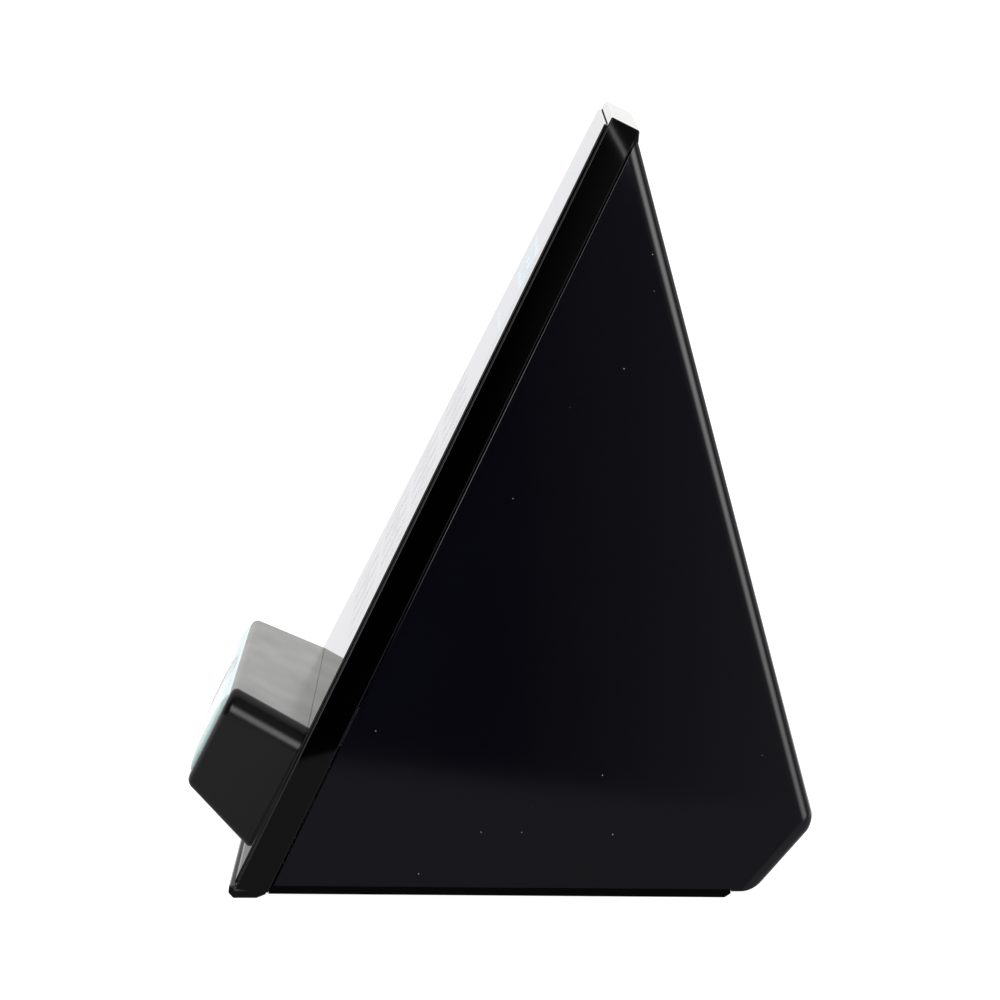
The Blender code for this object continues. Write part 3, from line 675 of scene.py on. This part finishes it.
# ---- rear housing -------------------------------------------------------------------------------
class CLOCK_OT_housing(bpy.types.Operator):
    """Make the satin rear housing with its chamfer, socket openings and sound slots"""

    bl_idname = "clock.housing"
    bl_label = "Rear housing"

    def execute(self, context):
        radius = context.scene.clock_shape.housing_round / MM
        seam = BEZEL_BACK + GAP
        top = HOUSING_TOP_Z
        spare = -120.0      # well in front of the seam, where the profile is cut off
        profile = [(spare, CHAMFER_LOW.z), (CHAMFER_LOW.y, CHAMFER_LOW.z),
                   (CHAMFER_HIGH.y, CHAMFER_HIGH.z), (back_line(top), top), (spare, top)]
        outer = hull(extruded(profile, 0.2))
        pairs = [(BACK_OUT, CHAMFER_OUT), (BACK_OUT, SIDE_OUT), (CHAMFER_OUT, SIDE_OUT),
                 (BACK_OUT, SIDE_OUT_FAR), (CHAMFER_OUT, SIDE_OUT_FAR), (CHAMFER_OUT, Vector((0, 0, -1)))]
        round_edges(outer, lambda e: any(faces_out(e, a, b) for a, b in pairs), radius, 8)
        keep_behind(outer, face(0, 0, seam), FACE_OUT)
        round_edges(outer, lambda e: faces_out(e, FACE_OUT) and not faces_out(e, Vector((0, 0, 1))),
                    0.25, 2)
        shell = piece("housing_shell", outer, FINISHES["satin"], body=None)
        self.hollow(shell, seam)
        self.openings(shell)
        finish_piece(shell, "clock", ("rear_housing",))
        return {"FINISHED"}

    def hollow(self, shell, seam):
        inner_back = BACK_Y - WALL * math.sqrt(1 + BACK_DRAFT ** 2)
        low = chamfer(0, 0, -WALL)
        slope = CHAMFER_UP.z / CHAMFER_UP.y
        corner_z = (low.z + slope * (inner_back - low.y)) / (1 + slope * BACK_DRAFT)
        floor = CHAMFER_LOW.z + WALL
        front = FACE_Y + (seam - 4.0) / COS
        top = HOUSING_TOP_Z - 10.0
        inner = [(front + floor * TAN, floor), (low.y + (floor - low.z) / slope, floor),
                 (inner_back - BACK_DRAFT * corner_z, corner_z), (inner_back - BACK_DRAFT * top, top),
                 (front + top * TAN, top)]
        cut(shell, hull(extruded(inner, WALL + 0.2)))
        mouth = COVER_REAR[0] - 2.0
        below = [(y, z) for y in (-75, mouth) for z in (-2, floor + 1)]
        cut(shell, hull(extruded(below, WALL + 0.2)))
        rim = [(y, cover_z(y) + lift) for y in (-75.0, COVER_TAIL[0] + 0.1)
               for lift in (-3.0, COVER_THICK + 0.15)]
        cut(shell, hull(extruded(rim, -5.0)))

    def openings(self, shell):
        def port(x, half, low_t, high_t, corner):
            return slab(chamfer, CHAMFER_OUT, (x - half, x + half), (low_t, high_t), (-5.0, 5.0), corner, 0,
                        CHAMFER_OUT)

        cut(shell, rod(chamfer(PORTS_X["power"], 0, 0), CHAMFER_OUT, 4.6, 10, 48))
        cut(shell, rod(chamfer(PORTS_X["power"], 0, 0.8), CHAMFER_OUT, 4.6, 1.6, 48, 6.2))
        cut(shell, port(PORTS_X["network"], 8.3, -7.0, 7.0, 0.6))
        cut(shell, port(PORTS_X["usb"], 6.9, -7.0, 0.6, 0.6))
        cut(shell, rod(chamfer(PORTS_X["reset"], -3, 0), CHAMFER_OUT, 2.2, 10, 32))
        cut(shell, port(PORTS_X["switch"], 7.6, -5.2, 5.2, 0.8))
        for number in range(6):
            height = (number - 2.5) * 4.4
            reach = math.sqrt(16.0 ** 2 - height ** 2)
            cut(shell, capsule(back, reach - 0.9, height, 0.9, (-5, 5)))


# ---- reader -------------------------------------------------------------------------------------
def reader_section(inset, depth, shoulder, foot, steps=8):
    """The reader's outline at a depth, drawn in by an inset, with round corners of two sizes."""
    share = -depth / READER_DEPTH
    low = READER_LOW_S + share * (READER_FRONT_LOW_S - READER_LOW_S)
    halves = [base + share * (front - base) for base, front in zip(READER_BASE_HALF, READER_FRONT_HALF)]
    slope = (halves[1] - halves[0]) / (READER_TOP_S - low)
    side_inset = inset * math.sqrt(1 + slope ** 2)
    low_half, top_half = halves[0] + slope * inset - side_inset, halves[1] - slope * inset - side_inset
    corners = [Vector((-low_half, low + inset)), Vector((low_half, low + inset)),
               Vector((top_half, READER_TOP_S - inset)), Vector((-top_half, READER_TOP_S - inset))]
    points = []
    for number, radius in enumerate((foot, foot, shoulder, shoulder)):
        here = corners[number]
        before = (corners[number - 1] - here).normalized()
        after = (corners[(number + 1) % 4] - here).normalized()
        half_angle = before.angle(after) / 2
        centre = here + (before + after).normalized() * radius / math.sin(half_angle)
        arm = here + before * radius / math.tan(half_angle) - centre
        turn = (math.pi - 2 * half_angle) / steps
        for step in range(steps + 1):
            x, s = centre + Matrix.Rotation(turn * step, 2) @ arm
            points.append(face(x, s, depth))
    return points


def reader_solid(levels):
    """A solid through sections, each given as inset, depth, shoulder radius and foot radius."""
    return hull([point for level in levels for point in reader_section(*level)])


def quarter_turns(steps):
    """How far a rounded edge has moved across and along at each step round it, as shares of its size."""
    return [(1 - math.cos(angle), math.sin(angle)) for angle in
            (math.pi / 2 * step / steps for step in range(steps + 1))]


class CLOCK_OT_reader(bpy.types.Operator):
    """Make the fingerprint reader block, its lens and its finger window"""

    bl_idname = "clock.reader"
    bl_label = "Reader"

    def execute(self, context):
        shape = context.scene.clock_shape
        shoulder, foot, edge = shape.reader_shoulder / MM, 2.5, shape.reader_round / MM
        levels = [(0.0, -0.05, shoulder, foot)]
        for across, along in quarter_turns(6):
            inset = edge * across
            levels.append((inset, -READER_DEPTH + edge * (1 - along), shoulder - inset, foot - inset))
        shell = piece("reader_shell", reader_solid(levels), FINISHES["reader"], body=None)
        cut(shell, reader_solid([(READER_WALL, depth, 4.0, 1.0) for depth in (3.0, -READER_DEPTH + 3.4)]))
        cut(shell, reader_solid([(LENS_INSET, depth, *LENS_CORNERS)
                                 for depth in (-READER_DEPTH + 1.2, -READER_DEPTH - 3.0)]))
        opening = ((-FINGER_HALF - 0.6, FINGER_HALF + 0.6), (FINGER_S[0] - 0.6, FINGER_S[1] + 0.6))
        cut(shell, box_hull(face, *opening, (-30.0, -10.0)))
        finish_piece(shell, "clock", ("reader_housing",))
        self.lens(opening)
        return {"FINISHED"}

    def pillow(self, back, swell):
        """A solid that starts at a depth and swells out of the lens seat."""
        rim, rise, reach = LENS_INSET + 0.1, 0.1, 9.0
        levels = [(rim, back, *LENS_CORNERS)]
        for across, along in quarter_turns(9):
            levels.append((rim + reach * across, -READER_DEPTH - rise - swell * along,
                           *(max(corner - reach * across, 0.5) for corner in LENS_CORNERS)))
        return reader_solid(levels)

    def lens(self, opening):
        swollen = self.pillow(-READER_DEPTH + 0.9, 1.35)
        lens = piece("reader_lens_plate", swollen, FINISHES["teal"], body=None)
        cut(lens, slab(face, FACE_OUT, (opening[0][0] + 0.45, opening[0][1] - 0.45),
                       (opening[1][0] + 0.45, opening[1][1] - 0.45), (-30.0, -10.0), 2.0, 0, FACE_OUT))
        finish_piece(lens, "clock", ("reader_lens",))
        pad = slab(face, FACE_OUT, (-FINGER_HALF, FINGER_HALF), FINGER_S, (-25.0, -17.6), 1.9, 0, FACE_OUT)
        pad = piece("finger_window", pad, FINISHES["glass"], body=None)
        boolean(pad, self.pillow(-17.0, 1.3), "INTERSECT")
        finish_piece(pad, "clock", ("sensor_window",))


# ---- sockets and controls -----------------------------------------------------------------------
class CLOCK_OT_sockets(bpy.types.Operator):
    """Make the socket contacts, the USB tongue and the switch in the chamfer"""

    bl_idname = "clock.sockets"
    bl_label = "Sockets"

    def execute(self, context):
        x = PORTS_X["network"]
        for number in range(8):
            along = x + (number - 3.5) * 1.2
            bm = box_hull(chamfer, (along - 0.25, along + 0.25), (-3.3, -2.9), (-12.0, -3.4))
            piece(f"network_contact_{number + 1}", bm, FINISHES["gold"], weighted=False)
        x = PORTS_X["usb"]
        tongue = slab(chamfer, CHAMFER_OUT, (x - 5.4, x + 5.4), (-4.1, -2.4), (-10.8, -1.6),
                      0, 0.2, CHAMFER_OUT)
        piece("usb_tongue", tongue, FINISHES["white_plastic"])
        for number in range(4):
            along = x + (number - 1.5) * 2.4
            bm = box_hull(chamfer, (along - 0.5, along + 0.5), (-4.3, -4.12), (-9.5, -2.4))
            piece(f"usb_contact_{number + 1}", bm, FINISHES["gold"], weighted=False)
        self.rocker()
        return {"FINISHED"}

    def rocker(self):
        x = PORTS_X["switch"]
        profile = [(-5.0, -4.0), (-5.0, -0.2), (5.0, 0.9), (2.6, -4.2), (0.0, -5.2)]
        rocker = hull([chamfer(x + a, t, n) for a, n in profile for t in (-3.5, 3.5)])
        round_edges(rocker, lambda e: True, 0.4, 4)
        piece("switch_rocker", rocker, FINISHES["gloss"], "power_switch", ("power_switch",))
        slant = Vector((10.0, 0.0, 1.1))
        tilt = math.atan2(slant.z, slant.x)
        for name, offset in (("switch_mark_off", -2.6), ("switch_mark_on", 2.6)):
            n = 0.35 + 0.11 * offset
            centre = chamfer(x + offset, 0, n + 0.02)
            outward = (CHAMFER_OUT * math.cos(tilt) - X_AXIS * math.sin(tilt)).normalized()
            if offset < 0:
                mark = rod(centre, outward, 1.1, 0.08, 32)
                made = piece(name, mark, FINISHES["print"], body=None)
                cut(made, rod(centre, outward, 0.75, 1.0, 32))
            else:
                along = (X_AXIS * math.cos(tilt) + CHAMFER_OUT * math.sin(tilt)).normalized()
                mark = hull([centre + along * a + CHAMFER_UP * t + outward * o
                             for a in (-0.2, 0.2) for t in (-1.2, 1.2) for o in (-0.04, 0.04)])
                made = piece(name, mark, FINISHES["print"], body=None)
            finish_piece(made, "power_switch", weighted=False)


# ---- base ---------------------------------------------------------------------------------------
class CLOCK_OT_base(bpy.types.Operator):
    """Make the base tray, the rubber feet and the base screws"""

    bl_idname = "clock.base"
    bl_label = "Base"

    def execute(self, context):
        self.tray()
        for number in range(1, 5):
            low, high, centre = node_box(f"foot_{number}")
            radius = (high.x - low.x) / 2
            pad = rod(centre, (0, 0, 1), radius, high.z - low.z, 48)
            round_edges(pad, lambda e, z=low.z: all(abs(v.co.z - z) < 0.01 for v in e.verts), 0.35, 4)
            made = piece(f"rubber_foot_{number}", pad, FINISHES["rubber"], body=None)
            for turn in range(3):
                under = Vector((centre.x, centre.y, low.z))
                outer = radius - 1.0 - turn * 1.2
                cut(made, rod(under, (0, 0, 1), outer, 0.3, 48))
                join(made, rod(under + Vector((0, 0, 0.1)), (0, 0, 1), outer - 0.4, 0.2, 48))
            finish_piece(made, "clock", (f"foot_{number}",))
            low, high, centre = node_box(f"base_screw_{number}")
            head = rod(Vector((centre.x, centre.y, low.z + 0.36)), (0, 0, 1), 2.8, 0.72, 40)
            round_edges(head, lambda e, z=low.z: all(abs(v.co.z - z) < 0.02 for v in e.verts), 0.3, 4)
            made = piece(f"base_screw_head_{number}", head, FINISHES["steel"], body=None)
            join(made, rod(Vector((centre.x, centre.y, (low.z + high.z) / 2 + 0.3)), (0, 0, 1), 1.4,
                           high.z - low.z - 0.7, 24))
            for wide, deep in ((1.5, 0.28), (0.28, 1.5)):
                cut(made, box_hull(straight, (centre.x - wide, centre.x + wide),
                                   (centre.y - deep, centre.y + deep), (low.z - 1.0, low.z + 0.5)))
            finish_piece(made, "clock", (f"base_screw_{number}",))
        return {"FINISHED"}

    def tray(self):
        """The base cover, flush with the housing's sides, with its battery bay and its recesses."""
        seam = BEZEL_BACK + 0.1
        thick = COVER_THICK + 0.05
        outline = [at_depth(seam, COVER_FRONT[1]), at_depth(seam, COVER_FRONT[1] + thick), COVER_REAR,
                   COVER_TAIL, (COVER_TAIL[0], cover_z(COVER_TAIL[0]) + thick)]
        body = hull(extruded(outline, 0.25))
        round_edges(body, lambda e: faces_out(e, Vector((0, 0, -1))), 0.45, 4)
        tray = piece("base_tray", body, FINISHES["base"], body=None)
        bay_x, bay_y, bay_top = 34.4, (-43.4 + CENTRE_Y, 5.6 + CENTRE_Y), 22.0
        wall = 1.6
        join(tray, box_hull(straight, (-bay_x - wall, bay_x + wall), (bay_y[0] - 1.0, bay_y[1] + wall),
                            (2.0, bay_top + wall)))
        cut(tray, box_hull(straight, (-bay_x, bay_x), bay_y, (-3.0, bay_top)))
        for number in range(1, 5):
            for node, room in ((f"foot_{number}", 0.25), (f"base_screw_{number}", 0.3)):
                low, high, centre = node_box(node)
                reach = (high.x - low.x) / 2 + room
                depth = 1.0 if node.startswith("foot") else 1.1
                middle = Vector((centre.x, centre.y, cover_z(centre.y) + depth - 3.0))
                cut(tray, rod(middle, (0, 0, 1), reach, 6.0))
            cut(tray, rod(Vector((centre.x, centre.y, 2.0)), (0, 0, 1), 1.8, 12.0, 24))
        pin = node_box("hinge_pin")[2]
        for sign in (-1, 1):
            lug = box_hull(straight, tuple(sorted((sign * 29.4, sign * 35.0))),
                           (pin.y - 1.1, bay_y[1] + 0.8), (pin.z - 1.1, pin.z + 1.3))
            join(tray, lug)
            cut(tray, rod(Vector((sign * 30.9, pin.y, pin.z)), X_AXIS, 0.8, 4.0, 24))
        finish_piece(tray, "clock", ("base_cover",))


# ---- the frame's own pieces ---------------------------------------------------------------------
NODE_FINISH = {
    "base": ["battery_door"],
    "matt": ["reader_back_plate", "coin_cell_holder", "sensor_camera", "speaker", "power_jack",
             "switch_body", "reset_button", "reset_switch"],
    "board": ["display_board", "main_board", "sensor_board", "port_board"],
    "steel": ["display_frame", "processor_shield", "wireless_module", "coin_cell", "network_jack",
              "usb_port", "power_jack_pin", "hinge_pin", "ballast_plate",
              *(f"{kind}_{number}" for kind in ("standoff", "board_screw") for number in range(1, 5))],
    "screen": ["display_glass"],
    "ribbon": ["touch_key_film", "display_ribbon", "reader_ribbon"],
    "wrap": ["battery_pack"],
    "glass": ["sensor_prism", "sensor_light_1", "sensor_light_2", "status_light_pipe"],
}


class CLOCK_OT_inner(bpy.types.Operator):
    """Give the frame's own pieces their finished materials"""

    bl_idname = "clock.inner"
    bl_label = "Frame pieces"

    def execute(self, context):
        for finish, names in NODE_FINISH.items():
            for name in names:
                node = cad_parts[name]
                node.data.materials.clear()
                node.data.materials.append(FINISHES[finish])
        return {"FINISHED"}


# ---- studio -------------------------------------------------------------------------------------
SOFT_LIGHTS = (
    # strength, (bearing in degrees: rise, fall), (height in degrees: rise, fall)
    (4.0, ((22, 58), (62, 96)), ((-2, 24), (30, 46))),        # tall softbox to the right and behind
    (4.6, ((-32, -20), (-13, -8)), ((8, 19), (34, 48))),      # small softbox left of the camera
)


def studio_world():
    """Dark studio with two softboxes, a dim ceiling and a bright backdrop low down on the far side."""
    world = bpy.data.worlds.new("studio")
    bpy.context.scene.world = world
    sky = Graph(world)
    sky.nodes.clear()
    place = sky.add("TexCoord").outputs["Generated"]
    x, y, z = sky.add("SeparateXYZ", Vector=place).outputs
    bearing = sky.math("DEGREES", sky.math("ARCTAN2", y, x))
    height = sky.math("DEGREES", sky.math("ARCSINE", z))
    ceiling = sky.spread(x, 0.42, 0.0, -0.3, 0.12)
    backdrop = sky.math("MULTIPLY", sky.spread(x, 1.0, 0.0, -0.96, -0.88),
                        sky.spread(z, 1.22, 1.58, 0.04, 0.11))
    side_wall = sky.math("MULTIPLY", sky.spread(y, 0.0, 0.22, 0.0, 0.09),
                         sky.window(x, (0.2, 0.5), (2.0, 3.0)))
    total = sky.math("MAXIMUM", sky.math("MAXIMUM", ceiling, backdrop), side_wall)
    for strength, bearings, heights in SOFT_LIGHTS:
        box = sky.math("MULTIPLY", sky.window(bearing, *bearings), sky.window(height, *heights))
        total = sky.math("MULTIPLY_ADD", box, strength, total)
    lights = sky.add("Background", Color=(1.0, 0.995, 0.985, 1.0), Strength=total)
    seen = sky.add("Background", Color=(1.0, 1.0, 1.0, 1.0), Strength=1.05)
    mix = sky.add("MixShader")
    for socket, output in zip(mix.inputs, (sky.add("LightPath").outputs["Is Camera Ray"],
                                           lights.outputs[0], seen.outputs[0])):
        sky.link(output, socket)
    sky.add("OutputWorld", Surface=mix.outputs[0])


def glow(name, strength, light, base=0.0, specular=0.0, rough=0.5):
    """A plain grey surface with an even light of its own."""
    made = bpy.data.materials.new(name)
    surface = Graph(made)
    levels = {"Base Color": (base, base, base, 1.0), "Specular IOR Level": specular, "Roughness": rough,
              "Emission Color": (*light, 1.0), "Emission Strength": strength}
    for socket, level in levels.items():
        surface.put(surface.nodes["Principled BSDF"].inputs[socket], level)
    return made


def card(name, corners, strength):
    """A card that is seen only in the clock's reflections."""
    bm = bmesh.new()
    bm.faces.new([bm.verts.new(corner) for corner in corners])
    made = mesh_from(bm, name, glow(name, strength, (0.98, 0.98, 1.0)))
    made.visible_camera = False
    made.visible_diffuse = False
    made.visible_shadow = False


WALL_X, FLOOR_RADIUS = 2.1, 9.0
NEAR_FLOOR, FRONT_FLOOR, FAR_FLOOR = 0.0005, 0.0004, 0.0003      # heights of the cards on the floor
CARDS = (
    # name, corners in metres, strength
    ("grey_wall", ((WALL_X, -1.3, 0.0), (WALL_X, 1.0, 0.0), (WALL_X, 1.0, 0.2),
                   (WALL_X, -1.3, 0.465)), 0.19),
    ("strip", ((WALL_X, 0.062, 0.861), (WALL_X, 0.134, 0.793), (WALL_X, 0.134, 0.788),
               (WALL_X, 0.062, 0.856)), 2.6),
    ("far_floor", ((-0.02, -4.0, FAR_FLOOR), (-0.02, 4.0, FAR_FLOOR), (-7.0, 4.0, FAR_FLOOR),
                   (-7.0, -4.0, FAR_FLOOR)), 1.14),
    # the two floor cards below are painted shade: they darken the floor in the clock's reflections, on the
    # camera's side and round the clock's back, where it lies in shade; the camera still sees the floor
    # white
    ("painted_floor_shade", ((-0.06, 0.055, NEAR_FLOOR), (WALL_X, -1.6, NEAR_FLOOR), (WALL_X, 1.6, NEAR_FLOOR),
                    (-0.06, 1.6, NEAR_FLOOR)), 0.36),
    ("painted_floor_shade_front", ((0.04, -0.9, FRONT_FLOOR), (WALL_X, -1.6, FRONT_FLOOR),
                          (-0.06, 0.055, FRONT_FLOOR)), 0.36),
)


class CLOCK_OT_studio(bpy.types.Operator):
    """Make the pale floor, the soft light and the camera"""

    bl_idname = "clock.studio"
    bl_label = "Studio"

    def execute(self, context):
        scene = context.scene
        studio = scene.clock_studio
        scene.view_settings.view_transform = "Standard"
        studio_world()
        self.floor()
        for name, corners, strength in CARDS:
            card(name, corners, strength)
        self.top_light(studio)
        self.camera(scene, studio)
        return {"FINISHED"}

    def floor(self):
        bm = bmesh.new()
        bmesh.ops.create_circle(bm, cap_ends=True, segments=64, radius=FLOOR_RADIUS)
        mesh_from(bm, "floor", glow("pale_floor", 0.97, (1.0, 1.0, 1.0), 0.3, 0.1, 0.9))

    def top_light(self, studio):
        lamp = bpy.data.lights.new("top_light", "AREA")
        lamp.shape = "RECTANGLE"
        lamp.size, lamp.size_y = 1.3, 1.6
        lamp.energy = studio.top_power
        top = add_to_scene("top_light", lamp)
        top.location = (-0.25, 0.0, 1.35)
        top.visible_glossy = False

    def camera(self, scene, studio):
        data = bpy.data.cameras.new("camera")
        data.lens = studio.lens
        data.sensor_width = 36.0
        data.clip_start, data.clip_end = 0.05, 50.0
        camera = add_to_scene("camera", data)
        camera.location = (studio.distance, CENTRE_Y * MM + 0.0007, studio.height)
        camera.rotation_euler = (math.pi / 2 - studio.tilt, 0.0, math.pi / 2)
        scene.camera = camera


# ---- panel and registration ---------------------------------------------------------------------
STEPS = ("face", "bezel", "housing", "reader", "sockets", "base", "inner", "studio")


class CLOCK_PT_panel(bpy.types.Panel):
    """Lists the clock's settings and steps"""

    bl_idname = "CLOCK_PT_panel"
    bl_label = "Desktop time clock"
    bl_space_type = "VIEW_3D"
    bl_region_type = "UI"
    bl_category = "Clock"

    def draw(self, context):
        for group in (context.scene.clock_shape, context.scene.clock_finish, context.scene.clock_studio):
            column = self.layout.column(align=True)
            for name in group.__annotations__:
                column.prop(group, name)
        for step in STEPS:
            self.layout.operator(f"clock.{step}")


CLASSES = (ClockShape, ClockFinish, ClockStudio, CLOCK_OT_face, CLOCK_OT_bezel, CLOCK_OT_housing,
           CLOCK_OT_reader, CLOCK_OT_sockets, CLOCK_OT_base, CLOCK_OT_inner, CLOCK_OT_studio,
           CLOCK_PT_panel)


def register():
    for item in CLASSES:
        bpy.utils.register_class(item)
    bpy.types.Scene.clock_shape = PointerProperty(type=ClockShape)
    bpy.types.Scene.clock_finish = PointerProperty(type=ClockFinish)
    bpy.types.Scene.clock_studio = PointerProperty(type=ClockStudio)


def unregister():
    del bpy.types.Scene.clock_studio
    del bpy.types.Scene.clock_finish
    del bpy.types.Scene.clock_shape
    for item in reversed(CLASSES):
        bpy.utils.unregister_class(item)


def main():
    register()
    FINISHES.update(make_materials())
    for step in STEPS:
        getattr(bpy.ops.clock, step)()


if __name__ == "__main__":
    main()
